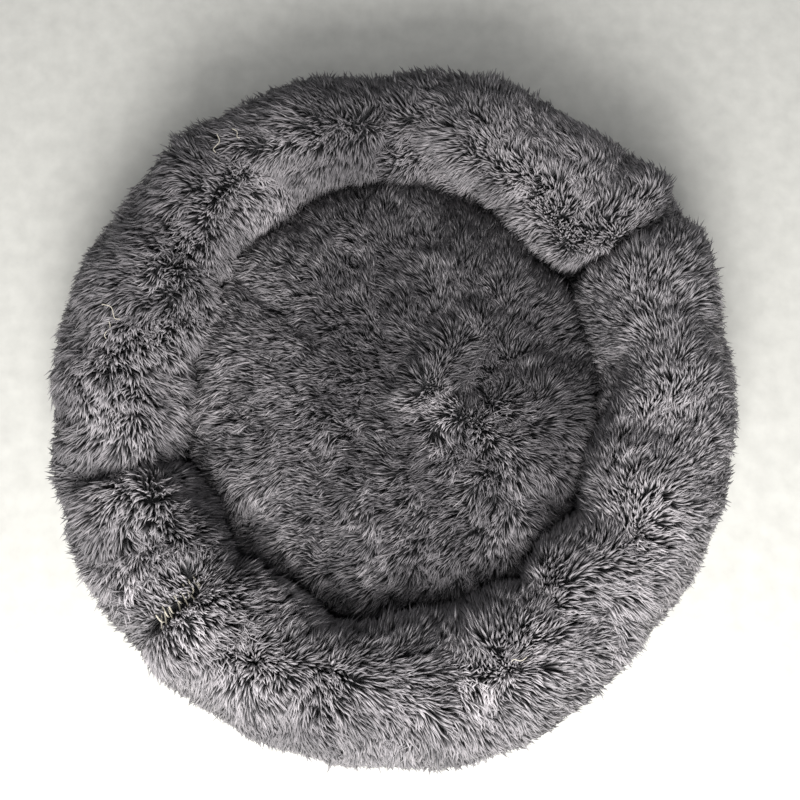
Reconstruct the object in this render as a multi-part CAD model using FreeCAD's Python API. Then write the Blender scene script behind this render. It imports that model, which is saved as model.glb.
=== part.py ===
"""Round one-piece pet bed: a stuffed plush ring round a plush cushion, on a non-slip base with a zip.

Millimetres, +Z up, origin at the centre of the base where it meets the floor. One STEP per piece.
"""

import FreeCAD, Part
import math
import os

V = FreeCAD.Vector

# Overall form
RING_RADIUS = 234.0          # centre of the ring's tube, from the bed's axis
RING_HALF_WIDTH = 64.0       # half the tube's width, pile included
RING_HEIGHT = 152.0          # the tube's height, pile included
RING_FLAT = 4.0              # half the width of the flat on the tube's top and underside
CUSHION_HEIGHT = 103.0       # centre of the cushion above the base cloth, pile included
CUSHION_DOME = 600.0         # radius of the cushion's domed top
CUSHION_EDGE = 46.0          # rounding of the cushion's edge
RING_SEAM_ANGLE = 36.0       # first of the ring cover's seams, from +X
RING_PANELS = ("rear", "left", "front", "right")   # counted round from the first seam

# Cloths
PLUSH = 19.0                 # cover: backing cloth and the pile standing on it
LINER = 1.0                  # inner bag that holds the filling
BASE_CLOTH = 1.2
DOT_HEIGHT = 1.0
DOT_RADIUS = 4.0
DOT_PITCH = 44.0
SEAM_GAP = 1.6               # two backing cloths sewn face to face
SEAM_DEPTH = 6.0             # height of that seam inside the pile
WELL_GAP = 1.5               # between the cushion's side and the ring at its widest
WELL_SEAM_HEIGHT = 8.0
BASE_OPEN = 26.0             # half the width that the ring cover leaves open underneath
BINDING_WIDTH = 6.0
BINDING_HEIGHT = 9.0

# Zip in the base
ZIP_LENGTH = 220.0           # length of the two coil rows
ZIP_LEVEL = 9.4              # underside of the tapes, above the dots' feet
TAPE_WIDTH = 15.2
TAPE = 0.6
TAPE_TAIL = 8.0              # tape beyond each end of the coils
COIL_WIDTH = 2.4
COIL_HEIGHT = 2.4
ROW_GAP = 1.3                # half the gap between the two rows, where the slider's post runs
POCKET_HALF_WIDTH = 17.0     # recess in the base cloth that keeps the zip off the floor
SLOT_HALF_WIDTH = 9.0
SLIDER_LENGTH = 12.0
SLIDER_HALF_WIDTH = 5.0
SLIDER_PLATE = 1.0
SLIDER_CLEAR = 0.35          # slider to coils, tapes and stops
POST_HALF_WIDTH = 0.9
LUG = 1.1
PIN_RADIUS = 0.6
PIN_CLEAR = 0.08             # running clearance of the pull's eye
PULL_HALF_WIDTH = 3.0
PULL_LENGTH = 22.0
PULL_ROOM = 3.0              # between the pull's tip and the recess at both ends of its travel
PULL_THICK = 1.6
EYE_WALL = 0.8
STOP_LENGTH = 3.0
FIT = 0.3                    # filling to zip

# Heights and radii that follow
CLOTH_Z = DOT_HEIGHT
FLOOR_Z = CLOTH_Z + BASE_CLOTH                      # top of the base cloth
RING_ROUND = RING_HALF_WIDTH - RING_FLAT             # rounding of the tube's section
RING_INNER = RING_RADIUS - RING_HALF_WIDTH
CUSHION_RADIUS = RING_INNER - WELL_GAP
BASE_RADIUS = RING_RADIUS + BASE_OPEN + BINDING_WIDTH / 3
TAPE_Z = CLOTH_Z + ZIP_LEVEL
COIL_Z = TAPE_Z - COIL_HEIGHT
PLATE_LOW_TOP = COIL_Z - SLIDER_CLEAR
PLATE_HIGH_Z = TAPE_Z + TAPE + SLIDER_CLEAR
EYE_RADIUS = PIN_RADIUS + PIN_CLEAR + EYE_WALL
PIN_Z = PLATE_LOW_TOP - SLIDER_PLATE - EYE_RADIUS - 2 * PIN_CLEAR
SLIDER_X = -ZIP_LENGTH / 2 + SLIDER_CLEAR + SLIDER_LENGTH / 2
SLIDER_TRAVEL = ZIP_LENGTH - SLIDER_LENGTH - 2 * SLIDER_CLEAR
POCKET_HALF_LENGTH = SLIDER_TRAVEL / 2 + PULL_LENGTH + PULL_ROOM


def box(x0, x1, y0, y1, z0, z1):
    return Part.makeBox(x1 - x0, y1 - y0, z1 - z0, V(x0, y0, z0))


def arc(centre, radius, start, end):
    """Arc in the XZ plane about centre (r, z), from one angle to another in degrees."""
    def at(angle):
        turn = math.radians(angle)
        return V(centre[0] + radius * math.cos(turn), 0, centre[1] + radius * math.sin(turn))
    return Part.Arc(at(start), at((start + end) / 2), at(end)).toShape()


def rounded_face(half_width, low, high, corner):
    """Rounded rectangle about the ring's tube centre, in the XZ plane."""
    side = half_width - corner
    corners = [(RING_RADIUS + side, high - corner, 0), (RING_RADIUS - side, high - corner, 90),
               (RING_RADIUS - side, low + corner, 180), (RING_RADIUS + side, low + corner, 270)]
    edges = []
    for r, z, angle in corners:
        edges.append(arc((r, z), corner, angle, angle + 90))
    for k in range(4):
        start = edges[k].Vertexes[-1].Point
        end = edges[(k + 1) % 4].Vertexes[0].Point
        if start.distanceToPoint(end) > 1e-6:
            edges.append(Part.makeLine(start, end))
    return Part.Face(Part.Wire(Part.__sortEdges__(edges)))


def plain_face(r0, r1, z0, z1):
    points = [V(r0, 0, z0), V(r1, 0, z0), V(r1, 0, z1), V(r0, 0, z1), V(r0, 0, z0)]
    return Part.Face(Part.makePolygon(points))


def turned(face):
    """Solid of revolution about the bed's axis."""
    solid = face.Faces[0].revolve(V(0, 0, 0), V(0, 0, 1), 360)
    return Part.Solid(solid) if solid.ShapeType != "Solid" else solid


def ring_envelope(inset=0.0):
    """Section of the ring's tube, drawn in on every side by inset."""
    return rounded_face(RING_HALF_WIDTH - inset, FLOOR_Z + inset,
                        FLOOR_Z + RING_HEIGHT - inset, RING_ROUND - inset)


def ring_core(inset=0.0):
    """Section inside the cover, which lies on the base cloth instead of on pile."""
    return rounded_face(RING_HALF_WIDTH - PLUSH - inset, FLOOR_Z + inset,
                        FLOOR_Z + RING_HEIGHT - PLUSH - inset, RING_ROUND - PLUSH - inset)


def underside_slab():
    return plain_face(RING_RADIUS - BASE_OPEN, RING_RADIUS + BASE_OPEN, 0, FLOOR_Z + PLUSH)


def sector(start, end, gap):
    """Wedge of a quarter turn whose two side planes each stand back half of gap."""
    reach = 2 * (RING_RADIUS + RING_HALF_WIDTH)
    quarter = box(gap / 2, reach, gap / 2, reach, -1, FLOOR_Z + RING_HEIGHT + 1)
    quarter.rotate(V(0, 0, 0), V(0, 0, 1), start)
    return quarter


def ring_panels():
    """Plush cover of the ring in panels, and the seams sewn between them."""
    cover = turned(ring_envelope().cut(ring_core()).cut(underside_slab()))
    seam_band = ring_envelope(PLUSH - SEAM_DEPTH).cut(ring_core()).cut(underside_slab())
    band = turned(seam_band)
    step = 360.0 / len(RING_PANELS)
    seams = []
    reach = RING_RADIUS + RING_HALF_WIDTH
    for k, name in enumerate(RING_PANELS):
        angle = RING_SEAM_ANGLE + k * step
        export("ring_cover_" + name, cover.common(sector(angle, angle + step, SEAM_GAP)))
        blade = box(0, reach, -SEAM_GAP / 2, SEAM_GAP / 2, 0, FLOOR_Z + RING_HEIGHT)
        blade.rotate(V(0, 0, 0), V(0, 0, 1), angle)
        seams.append(band.common(blade))
    export("ring_seams", Part.makeCompound([s for seam in seams for s in seam.Solids]))


def ring_inside():
    """Inner bag of the ring and its fibre filling."""
    export("ring_liner", turned(ring_core().cut(ring_core(LINER))))
    export("ring_fill", turned(ring_core(LINER)))


def cushion_edge():
    """Centre (r, z) of the cushion's rounded edge; the side below it is upright."""
    edge_r = CUSHION_RADIUS - CUSHION_EDGE
    dome_z = FLOOR_Z + CUSHION_HEIGHT - CUSHION_DOME
    span = CUSHION_DOME - CUSHION_EDGE
    return edge_r, dome_z + math.sqrt(span ** 2 - edge_r ** 2)


def cushion_solid(inset=0.0, low=FLOOR_Z):
    """Domed cushion drawn in by inset, with its flat underside at low."""
    edge_r, edge_z = cushion_edge()
    span = CUSHION_DOME - CUSHION_EDGE
    dome_z = FLOOR_Z + CUSHION_HEIGHT - CUSHION_DOME
    lean = 90 - math.degrees(math.asin(edge_r / span))
    top = arc((0, dome_z), CUSHION_DOME - inset, 90, lean)
    edge = arc((edge_r, edge_z), CUSHION_EDGE - inset, lean, 0)
    side = CUSHION_RADIUS - inset
    lines = [Part.makeLine(V(side, 0, edge_z), V(side, 0, low)),
             Part.makeLine(V(side, 0, low), V(0, 0, low)),
             Part.makeLine(V(0, 0, low), V(0, 0, dome_z + CUSHION_DOME - inset))]
    face = Part.Face(Part.Wire(Part.__sortEdges__([top, edge] + lines)))
    return turned(face)


def zip_room(inset=0.0):
    """Space over the base's recess that the filling leaves to the zip."""
    grow = BASE_CLOTH + FIT + inset
    top = PLATE_HIGH_Z + SLIDER_PLATE + FIT + inset
    half_length = POCKET_HALF_LENGTH + grow
    half_width = POCKET_HALF_WIDTH + grow
    return box(-half_length, half_length, -half_width, half_width, 0, top)


def cushion():
    """Plush cover, inner bag and filling of the middle cushion."""
    bag = cushion_solid(PLUSH)
    export("cushion_cover", cushion_solid().cut(bag).cut(zip_room()))
    fill = cushion_solid(PLUSH + LINER, FLOOR_Z + LINER).cut(zip_room(LINER))
    export("cushion_liner", bag.cut(zip_room()).cut(fill))
    export("cushion_fill", fill)


def well_seam():
    """Seam that joins the cushion's side to the ring, low in the groove between them."""
    top = cushion_edge()[1]
    strip = plain_face(CUSHION_RADIUS, RING_RADIUS, top - WELL_SEAM_HEIGHT, top)
    strip = strip.cut(ring_envelope())
    inner = min(strip.Faces, key=lambda f: f.BoundBox.XMin)
    export("well_seam", turned(inner))


def base():
    """Two halves of the base cloth with the zip's recess, their edge binding and the grip dots."""
    half_length = POCKET_HALF_LENGTH
    half_width = POCKET_HALF_WIDTH
    cloth = Part.makeCylinder(BASE_RADIUS, BASE_CLOTH, V(0, 0, CLOTH_Z))
    wall = BASE_CLOTH
    cloth = cloth.fuse(box(-half_length - wall, half_length + wall, -half_width - wall,
                           half_width + wall, CLOTH_Z, TAPE_Z))
    cloth = cloth.cut(box(-half_length, half_length, -half_width, half_width, 0, TAPE_Z - wall))
    slot = ZIP_LENGTH / 2 + TAPE_TAIL / 2
    cloth = cloth.cut(box(-slot, slot, -SLOT_HALF_WIDTH, SLOT_HALF_WIDTH, 0, TAPE_Z + 1))
    cloth = cloth.removeSplitter()
    reach = 2 * BASE_RADIUS
    export("base_cloth_front", cloth.common(box(-reach, reach, -reach, 0, 0, reach)))
    export("base_cloth_rear", cloth.common(box(-reach, reach, 0, reach, 0, reach)))
    strip = plain_face(BASE_RADIUS - BINDING_WIDTH, BASE_RADIUS, FLOOR_Z, FLOOR_Z + BINDING_HEIGHT)
    strip = strip.cut(ring_envelope())
    export("base_binding", turned(min(strip.Faces, key=lambda f: f.BoundBox.ZMin)))
    export("grip_dots", Part.makeCompound(grip_dots()))


def grip_dots():
    """Staggered rows of dots over the base, none of them across the zip's recess."""
    room = BASE_RADIUS - BINDING_WIDTH - DOT_RADIUS
    first_row = POCKET_HALF_WIDTH + BASE_CLOTH + 2 * DOT_RADIUS
    rise = DOT_PITCH * math.sqrt(3) / 2
    rows = int((room - first_row) / rise) + 1
    dots = []
    for side in (-1, 1):
        for row in range(rows):
            y = side * (first_row + row * rise)
            shift = (row % 2) * DOT_PITCH / 2
            count = int(room / DOT_PITCH) + 1
            for column in range(-count, count + 1):
                x = column * DOT_PITCH + shift
                if math.hypot(x, y) < room:
                    dots.append(Part.makeCylinder(DOT_RADIUS, DOT_HEIGHT, V(x, y, 0)))
    return dots


def zip_rows():
    """Tapes and coils on both sides, and the stops at both ends."""
    for name, side in (("front", -1), ("rear", 1)):
        half = ZIP_LENGTH / 2
        y0, y1 = sorted((side * ROW_GAP, side * (ROW_GAP + TAPE_WIDTH)))
        tape = box(-half - TAPE_TAIL, half + TAPE_TAIL, y0, y1, TAPE_Z, TAPE_Z + TAPE)
        export("zip_tape_" + name, tape)
        y0, y1 = sorted((side * ROW_GAP, side * (ROW_GAP + COIL_WIDTH)))
        export("zip_coil_" + name, box(-half, half, y0, y1, COIL_Z, TAPE_Z))
    outer = ROW_GAP + COIL_WIDTH
    half = ZIP_LENGTH / 2
    stops = [box(-half - STOP_LENGTH, -half, -outer, -ROW_GAP, COIL_Z, TAPE_Z),
             box(-half - STOP_LENGTH, -half, ROW_GAP, outer, COIL_Z, TAPE_Z),
             box(half, half + STOP_LENGTH, -outer, outer, COIL_Z, TAPE_Z)]
    export("zip_stops", Part.makeCompound(stops))


def zip_slider():
    """Two plates joined by a post that runs between the rows, with lugs and a pin underneath."""
    x0 = SLIDER_X - SLIDER_LENGTH / 2
    x1 = SLIDER_X + SLIDER_LENGTH / 2
    wide = SLIDER_HALF_WIDTH
    low = box(x0, x1, -wide, wide, PLATE_LOW_TOP - SLIDER_PLATE, PLATE_LOW_TOP)
    high = box(x0, x1, -wide, wide, PLATE_HIGH_Z, PLATE_HIGH_Z + SLIDER_PLATE)
    post = box(SLIDER_X - SLIDER_LENGTH / 4, SLIDER_X + SLIDER_LENGTH / 4, -POST_HALF_WIDTH,
               POST_HALF_WIDTH, PLATE_LOW_TOP, PLATE_HIGH_Z)
    plates = [low, high]
    plates = [p.makeFillet(wide / 2, upright_edges(p)) for p in plates]
    slider = plates[0].fuse([plates[1], post])
    lug_y = PULL_HALF_WIDTH + 2 * PIN_CLEAR
    for side in (-1, 1):
        y0, y1 = sorted((side * lug_y, side * (lug_y + LUG)))
        lug = box(SLIDER_X - EYE_RADIUS, SLIDER_X + EYE_RADIUS, y0, y1, PIN_Z, PLATE_LOW_TOP)
        slider = slider.fuse(lug)
        slider = slider.fuse(Part.makeCylinder(EYE_RADIUS, LUG, V(SLIDER_X, y0, PIN_Z), V(0, 1, 0)))
    pin = Part.makeCylinder(PIN_RADIUS, 2 * lug_y, V(SLIDER_X, -lug_y, PIN_Z), V(0, 1, 0))
    export("zip_slider", slider.fuse(pin).removeSplitter())


def upright_edges(shape):
    return [e for e in shape.Edges if abs(e.tangentAt(e.FirstParameter).z) > 0.99]


def zip_pull():
    """Flat pull on the slider's pin, lying along the closed zip."""
    eye = Part.makeCylinder(EYE_RADIUS, 2 * PULL_HALF_WIDTH, V(SLIDER_X, -PULL_HALF_WIDTH, PIN_Z),
                            V(0, 1, 0))
    tab = box(SLIDER_X, SLIDER_X + PULL_LENGTH, -PULL_HALF_WIDTH, PULL_HALF_WIDTH,
              PIN_Z - PULL_THICK / 2, PIN_Z + PULL_THICK / 2)
    far = [e for e in upright_edges(tab) if e.CenterOfMass.x > SLIDER_X + PULL_LENGTH / 2]
    tab = tab.makeFillet(PULL_HALF_WIDTH * 0.8, far)
    hole = Part.makeCylinder(PIN_RADIUS + PIN_CLEAR, 4 * PULL_HALF_WIDTH,
                             V(SLIDER_X, -2 * PULL_HALF_WIDTH, PIN_Z), V(0, 1, 0))
    export("zip_pull", tab.fuse(eye).cut(hole).removeSplitter())


def export(name, shape):
    """Write one node's STEP and print its size, after making sure that it is whole."""
    if not shape.isValid() or not shape.Solids:
        raise ValueError(name + " isn't a valid solid")
    shape.exportStep("parts/" + name + ".step")
    b = shape.BoundBox
    print(f"{name:20s} {len(shape.Solids):4d} solid(s) {shape.Volume / 1000:10.2f} cm3  "
          f"x {b.XMin:.1f}..{b.XMax:.1f}  y {b.YMin:.1f}..{b.YMax:.1f}  z {b.ZMin:.1f}..{b.ZMax:.1f}")


def main():
    os.makedirs("parts", exist_ok=True)
    ring_panels()
    ring_inside()
    cushion()
    well_seam()
    base()
    zip_rows()
    zip_slider()
    zip_pull()
    print(f"slider travel {SLIDER_TRAVEL:.1f}, pin at x {SLIDER_X:.2f} z {PIN_Z:.2f}")


main()
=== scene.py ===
"""Round plush pet bed: a fat gathered ring of long-pile faux fur round a domed cushion, on a zipped base.

The backing cloths are swollen surfaces shaped by cloth simulation, and the pile is grown from them as
tapered tufts, combed away from the seams and dimples. Metres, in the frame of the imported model.
"""

import math

import bpy
import numpy as np
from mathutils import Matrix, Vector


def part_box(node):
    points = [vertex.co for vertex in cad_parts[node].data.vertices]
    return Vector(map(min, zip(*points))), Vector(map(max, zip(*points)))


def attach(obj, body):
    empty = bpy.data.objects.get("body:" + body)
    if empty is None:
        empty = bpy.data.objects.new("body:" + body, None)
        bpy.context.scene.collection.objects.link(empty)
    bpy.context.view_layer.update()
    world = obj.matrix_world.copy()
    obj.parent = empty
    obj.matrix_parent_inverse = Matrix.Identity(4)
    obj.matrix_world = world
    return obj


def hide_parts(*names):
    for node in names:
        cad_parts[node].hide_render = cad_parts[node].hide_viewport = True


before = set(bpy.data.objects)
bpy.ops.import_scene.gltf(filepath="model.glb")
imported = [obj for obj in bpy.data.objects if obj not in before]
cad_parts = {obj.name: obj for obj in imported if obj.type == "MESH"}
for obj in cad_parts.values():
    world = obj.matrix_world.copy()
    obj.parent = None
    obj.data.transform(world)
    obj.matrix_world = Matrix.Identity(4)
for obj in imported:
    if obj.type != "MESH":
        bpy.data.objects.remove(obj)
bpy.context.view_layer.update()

bl_info = {
    "name": "Plush Pet Bed",
    "version": (1, 0, 0),
    "blender": (4, 5, 0),
    "location": "View3D > Sidebar > Pet Bed",
    "description": "Builds a round long-pile pet bed round its packed frame",
    "category": "Object",
}

TAU = 2 * math.pi
BODY = "bed"
PILE_MAP = "OFBake"
RING_NODES = ("ring_cover_rear", "ring_cover_left", "ring_cover_front", "ring_cover_right", "ring_seams")
RING_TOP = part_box("ring_cover_rear")[1][2]
RING_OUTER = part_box("ring_cover_right")[1][0]
CUSHION_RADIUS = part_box("cushion_cover")[1][0]
CUSHION_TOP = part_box("cushion_cover")[1][2]
FLOOR_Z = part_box("cushion_cover")[0][2]
# Space between the cushion and the ring
WELL_GAP = 0.0015
RING_INNER = CUSHION_RADIUS + WELL_GAP
RING_RADIUS = (RING_OUTER + RING_INNER) / 2
RING_HALF_WIDTH = (RING_OUTER - RING_INNER) / 2
ZIP_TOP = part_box("zip_slider")[1][2]
# How far the nest sits to the rear of the bed's middle
NEST_SHIFT = 0.009
# Plan's stretch in x and y: of the rim, what the nest adds to that, and of the cushion
RIM_STRETCH = (0.984, 1.018)
NEST_STRETCH = (0.012, 0.095)
CUSHION_STRETCH = (1.025, 1.115)
# Radius of the cushion's rounded edge and how far its crown falls towards it
CUSHION_CORNER = 0.036
CUSHION_FALL = 0.010
# Heights of the cushion's underside and of its side's lower end
CUSHION_UNDERSIDE = FLOOR_Z + 0.0105
CUSHION_SIDE_END = FLOOR_Z + 0.012
# How far the stage's floor lies under the dots
FLOOR_GAP = 0.0002
# Inverses of the plastic number and of its square, whose multiples fill a square evenly
PLASTIC = (0.7548776662466927, 0.5698402909980532)
# The pile's tips stay below this height, and bend over from SOFTEN below it
CEILING = RING_TOP + 0.0125
SOFTEN = 0.005
# Where the rim stands out or falls back: (angle from +X, half spread in degrees, amount)
BULGES = ((33.0, 15, 0.025), (318.0, 17, -0.008), (256.0, 12, -0.006), (355.0, 14, -0.004))


# ---------------------------------------------------------------- settings

def number_setting(name, default, description, **more):
    """Setting with one number."""
    return bpy.props.FloatProperty(name=name, default=default, description=description, **more)


def length_setting(name, default, description):
    """Setting in metres."""
    return number_setting(name, default, description, unit="LENGTH")


def count_setting(name, default, description):
    """Setting with a whole number."""
    return bpy.props.IntProperty(name=name, default=default, description=description)


def colour_setting(name, default, description):
    """Setting with a linear colour."""
    return bpy.props.FloatVectorProperty(name=name, default=default, description=description,
                                         subtype="COLOR", size=3)


class BedRingSettings(bpy.types.PropertyGroup):
    """Shape of the ring."""
    inset: length_setting("Backing depth", 0.0115, "Height of the pile over the ring's backing cloth")
    squareness: number_setting("Section power", 2.3, "Power of the tube's superellipse section")
    inner_slack: length_setting("Inner slack", 0.010, "Width the tube lacks on its side to the nest")
    pile_room: length_setting("Pile room", 0.0085, "More depth of the backing under the crown's pile")
    lump: length_setting("Lumps", 0.0060, "Height of the filling's lumps")
    fold_scale: number_setting("Fold depth", 1.0, "Multiplies the depth of every fold and dimple")
    around: count_setting("Steps around", 288, "Grid steps around the ring")
    across: count_setting("Steps across", 76, "Grid steps around the tube's section")


class BedCushionSettings(bpy.types.PropertyGroup):
    """Shape of the cushion."""
    inset: length_setting("Backing depth", 0.011, "Height of the pile over the cushion's backing cloth")
    valley: length_setting("Hollow", 0.019, "Depth of the worn hollow in the middle")
    lump: length_setting("Lumps", 0.004, "Height of the filling's lumps")
    steps: count_setting("Steps", 72, "Grid steps across the cushion")


class BedPileSettings(bpy.types.PropertyGroup):
    """Lengths, numbers and colours of the pile."""
    ring_length: length_setting("Ring pile", 0.0190, "Length of the ring's tufts")
    cushion_length: length_setting("Cushion pile", 0.0165, "Length of the cushion's tufts")
    width: length_setting("Tuft width", 0.0021, "Widest part of a tuft")
    clump: length_setting("Clump", 0.0062, "Distance between the points that tips are drawn to")
    ring_count: count_setting("Ring tufts", 122000, "Number of tufts on the ring")
    cushion_count: count_setting("Cushion tufts", 62000, "Number of tufts on the cushion")
    seed: count_setting("Seed", 7, "Seed of every random draw")
    # Root colours are partly painted shade between the tufts; the cushion's, darker than the ring's on the
    # same fur, holds more of it.
    root_colour: colour_setting("Ring root colour", (0.032, 0.031, 0.032),
                                "Ring's pile colour at the backing")
    cushion_root_and_shade_colour: colour_setting("Cushion root colour", (0.011, 0.0107, 0.0114),
                                        "Cushion's pile colour at the backing")
    dark_colour: colour_setting("Dark tuft", (0.115, 0.108, 0.111), "Tip colour of the darkest tufts")
    light_colour: colour_setting("Light tuft", (0.58, 0.552, 0.548), "Tip colour of the lightest tufts")


class BedStageSettings(bpy.types.PropertyGroup):
    """Camera and lights."""
    distance: length_setting("Camera distance", 0.97, "From the camera to the point it looks at")
    elevation: number_setting("Camera elevation", 78.0, "Degrees above the floor, seen from the front")
    field: number_setting("Field of view", 40.0, "Degrees across the view")
    key_power: number_setting("Key light", 44.0, "Watts")
    top_power: number_setting("Top light", 8.0, "Watts")
    fill_power: number_setting("Fill light", 0.8, "Watts")
    sky: number_setting("Sky", 0.31, "Strength of the even light")


SETTINGS = {"bed_ring": BedRingSettings, "bed_cushion": BedCushionSettings,
            "bed_pile": BedPileSettings, "bed_stage": BedStageSettings}


# ---------------------------------------------------------------- mesh helpers

def new_object(name, verts, faces, materials=(), shaded=True, uv=None):
    """Object from vertex and face arrays, all faces with the same number of corners or given as a list."""
    mesh = bpy.data.meshes.new(name)
    faces = [np.asarray(f, dtype=np.int64) for f in (faces if isinstance(faces, list) else [faces])]
    loops = np.concatenate([f.ravel() for f in faces])
    sizes = np.concatenate([np.full(len(f), f.shape[1]) for f in faces])
    starts = np.concatenate([[0], np.cumsum(sizes)[:-1]])
    mesh.vertices.add(len(verts))
    mesh.vertices.foreach_set("co", np.asarray(verts, dtype=np.float32).ravel())
    mesh.loops.add(len(loops))
    mesh.loops.foreach_set("vertex_index", loops.astype(np.int32))
    mesh.polygons.add(len(sizes))
    mesh.polygons.foreach_set("loop_start", starts.astype(np.int32))
    mesh.polygons.foreach_set("use_smooth", np.full(len(sizes), shaded))
    mesh.update(calc_edges=True)
    if uv is not None:
        layer = mesh.uv_layers.new(name=PILE_MAP)
        layer.data.foreach_set("uv", np.asarray(uv, dtype=np.float32).ravel())
    mesh.validate(clean_customdata=False)
    obj = bpy.data.objects.new(name, mesh)
    bpy.context.scene.collection.objects.link(obj)
    for material in materials:
        mesh.materials.append(material)
    return obj


def torus_faces(around, across):
    """Quads of a grid that closes on itself both ways; vertex (i, j) is i * across + j."""
    i, j = np.meshgrid(np.arange(around), np.arange(across), indexing="ij")
    i2, j2 = (i + 1) % around, (j + 1) % across
    return np.stack([i * across + j, i2 * across + j, i2 * across + j2, i * across + j2], -1).reshape(-1, 4)


def sheet_faces(rows, columns):
    """Quads of an open grid; vertex (i, j) is i * columns + j."""
    i, j = np.meshgrid(np.arange(rows - 1), np.arange(columns - 1), indexing="ij")
    a = i * columns + j
    return np.stack([a, a + columns, a + columns + 1, a + 1], -1).reshape(-1, 4)


def unit(v):
    """Vectors brought to length 1."""
    return v / np.maximum(np.linalg.norm(v, axis=-1, keepdims=True), 1e-12)


def wrap(angle):
    """Angle brought to between -pi and pi."""
    return (angle + math.pi) % TAU - math.pi


def tube_degrees(theta):
    """Angle round the tube in degrees, between -90, under it, and 270."""
    return np.degrees(wrap(theta - math.pi / 2)) + 90


def smooth(edge0, edge1, x):
    """0 below edge0, 1 above edge1, and 3t^2 - 2t^3 between."""
    t = np.clip((x - edge0) / (edge1 - edge0), 0, 1)
    return t * t * (3 - 2 * t)


def waves(points, scale, seed, count=24):
    """Soft noise of about unit size: a sum of sines in random directions, each about scale metres long."""
    rng = np.random.default_rng(seed)
    directions = unit(rng.normal(size=(count, 3)))
    lengths = scale * rng.uniform(0.6, 1.7, count)
    phases = rng.uniform(0, TAU, count)
    flat = points.reshape(-1, 3)
    total = np.sin(flat @ (directions * (TAU / lengths)[:, None]).T + phases).sum(axis=1)
    return (total * math.sqrt(2 / count)).reshape(points.shape[:-1])


# ---------------------------------------------------------------- forms

# Seams and creases across the ring: (angle from +X in degrees, depth, half width, from, to), where
# the last two are angles round the tube: 0 faces outwards, 90 up and 180 into the nest.
FOLDS = (
    (31.0, 0.036, 0.0125, 25, 205),      # rear right seam, drawn in deep
    (93.0, 0.013, 0.010, 60, 200),       # rear crease
    (196.0, 0.024, 0.0130, 50, 205),     # left crease
    (224.5, 0.016, 0.009, 30, 175),      # front left seam, parted to its stitches
    (330.0, 0.008, 0.018, 50, 175),      # right crease, shallow
    (266.0, 0.007, 0.016, 110, 205),     # gathers on the inside
    (150.0, 0.006, 0.014, 110, 205),
    (5.0, 0.006, 0.015, 110, 205),
    (65.0, 0.005, 0.014, 120, 205),
    (308.0, 0.007, 0.014, 120, 205),
)
# Dimples where the cover is caught down: (angle from +X, angle round the tube, depth, radius)
DIMPLES = (
    (133.0, 138, 0.018, 0.021),
    (295.0, 92, 0.021, 0.017),
    (243.0, 90, 0.015, 0.015),
    (258.0, 103, 0.010, 0.011),
    (332.0, 93, 0.011, 0.018),
    (103.0, 118, 0.015, 0.015),
    (54.0, 141, 0.013, 0.017),
    (204.0, 136, 0.015, 0.017),
    (12.0, 80, 0.006, 0.028),
)
# Paler and darker places on the ring, mostly painted light and shade: the outside at the front and right
# painted paler where the key light falls, the rear, the inner side and the hollows painted darker where
# shade falls, and small pale patches of painted sheen: (angle from +X, angle round the tube, spread,
# change of shade)
RING_LIGHT_AND_SHADE = (
    (118.0, 134, 0.024, 0.30),
    (72.0, 160, 0.028, 0.30),
    (192.5, 112, 0.013, 0.28),
    (300.0, 106, 0.013, 0.36),
    (44.0, 80, 0.045, 0.10),
    (90.0, 60, 0.110, -0.26),
    (130.0, 60, 0.090, -0.16),
    (95.0, 150, 0.060, -0.20),
    (165.0, 120, 0.055, -0.16),
    (180.0, 60, 0.070, -0.10),
    (222.0, 150, 0.050, -0.34),
    (205.0, 145, 0.045, -0.28),
    (262.0, 140, 0.060, -0.28),
    (238.0, 45, 0.080, 0.20),
    (212.0, 60, 0.050, 0.12),
    (270.0, 50, 0.080, 0.18),
    (52.0, 95, 0.060, 0.20),
    (172.0, 45, 0.022, -0.22),
    (155.0, 95, 0.022, -0.20),
    (160.0, 130, 0.020, -0.18),
    (140.0, 70, 0.020, -0.16),
    (183.0, 85, 0.030, 0.12),
    (112.0, 100, 0.020, 0.20),
    (75.0, 60, 0.022, 0.20),
    (310.0, 145, 0.050, -0.24),
    (350.0, 160, 0.040, -0.16),
    (20.0, 165, 0.050, -0.14),
    (318.0, 60, 0.095, 0.42),
    (2.0, 70, 0.095, 0.25),
)
# Place in FOLDS of the seam whose stitches show
STITCHED_FOLD = 3


def ring_section(phi, theta, inset):
    """Plain tube: a superellipse |x/a|^n + |z/b|^n = 1 carried round a circle, flat side down.

    a and b are the tube's half width and half height less inset, and n is the section power. Towards
    the nest a is less by the inner slack, except in front, where the ring leans over the cushion.
    """
    settings = bpy.context.scene.bed_ring
    power = 2 / settings.squareness
    low = FLOOR_Z + 0.0006 + 0.15 * inset
    half_height = (RING_TOP - inset - settings.pile_room - low) / 2
    c, s = np.cos(theta), np.sin(theta)
    front = np.exp(-(wrap(phi - math.radians(270)) / math.radians(48)) ** 2)
    slack = settings.inner_slack * (1 - 1.5 * front)
    half_width = RING_HALF_WIDTH - inset - slack * (c < 0)
    x = half_width * np.sign(c) * np.abs(c) ** power
    z = (low + half_height) + half_height * np.sign(s) * np.abs(s) ** power
    r = RING_RADIUS + x
    return oval(np.stack([r * np.cos(phi), r * np.sin(phi), z], -1))


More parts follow.
